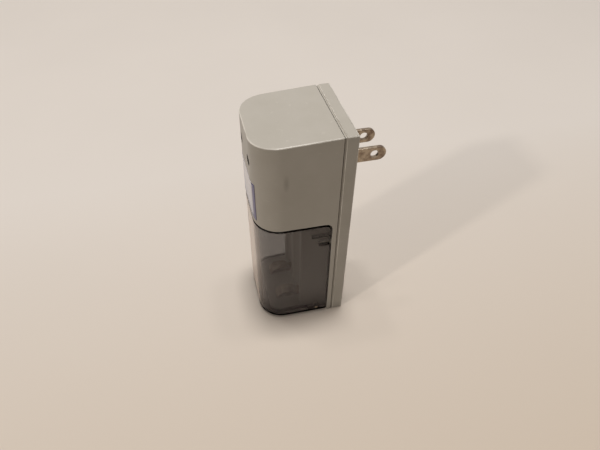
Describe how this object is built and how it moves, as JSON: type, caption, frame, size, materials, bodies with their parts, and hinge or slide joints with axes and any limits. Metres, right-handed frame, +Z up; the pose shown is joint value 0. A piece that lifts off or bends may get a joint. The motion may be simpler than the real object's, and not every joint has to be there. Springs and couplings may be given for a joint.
{
  "type": "plug-in battery charger",
  "caption": "Upright wall-plug housing with flat blades at the back, a hinged smoked cover over a cell bay, and indicator lamps on its rounded front.",
  "frame": {"origin": "bottom centre of the whole part, blades included, on the surface that it stands on", "axes": "+Z up, +Y towards the wall along the plug blades, +X to the right seen from the front"},
  "size_m": [0.039, 0.0556, 0.099],
  "materials": {
    "shell_plastic": "satin moulded ABS, warm light grey",
    "smoked_plastic": "glossy smoked polycarbonate, clear",
    "pin_steel": "bright",
    "label_print": "printed film",
    "screw_steel": "zinc plated",
    "blade_nickel": "nickel plated, worn",
    "clamp_plastic": "moulded",
    "core_iron": "stacked laminations",
    "bobbin_nylon": "moulded",
    "copper_wire": "enamelled wire",
    "fuse_body": "moulded",
    "wire_cover": "matt",
    "board_laminate": "lacquered laminate",
    "lamp_lens": "tinted epoxy",
    "dark_plastic": "moulded",
    "resistor_body": "lacquered",
    "capacitor_sleeve": "shrunk sleeve",
    "contact_nickel": "nickel plated spring strip"
  },
  "bodies": {
    "housing": {"front_shell": "shell_plastic", "rear_cover": "shell_plastic", "hinge_pins": "pin_steel", "front_label": "label_print", "housing_screws": "screw_steel", "left_blade": "blade_nickel", "right_blade": "blade_nickel", "blade_clamp": "clamp_plastic", "clamp_screw": "screw_steel", "transformer_core": "core_iron", "transformer_bobbin": "bobbin_nylon", "primary_winding": "copper_wire", "secondary_winding": "copper_wire", "thermal_fuse": "fuse_body", "primary_leads": "wire_cover", "secondary_leads": "wire_cover", "circuit_board": "board_laminate", "board_screws": "screw_steel", "left_lamp": "lamp_lens", "right_lamp": "lamp_lens", "lamp_spacers": "dark_plastic", "rectifier_diodes": "dark_plastic", "charge_resistors": "resistor_body", "smoothing_capacitor": "capacitor_sleeve", "charge_transistors": "dark_plastic", "positive_contacts": "contact_nickel", "negative_contacts": "contact_nickel", "cell_leads": "wire_cover"},
    "cover": {"smoked_cover": "smoked_plastic"}
  },
  "joints": [
    {"name": "cover_hinge", "type": "hinge", "parent": "housing", "child": "cover", "pos_m": [0, -0.00183, 0.0028], "axis": [1, 0, 0], "range_deg": [0, 95]}
  ]
}
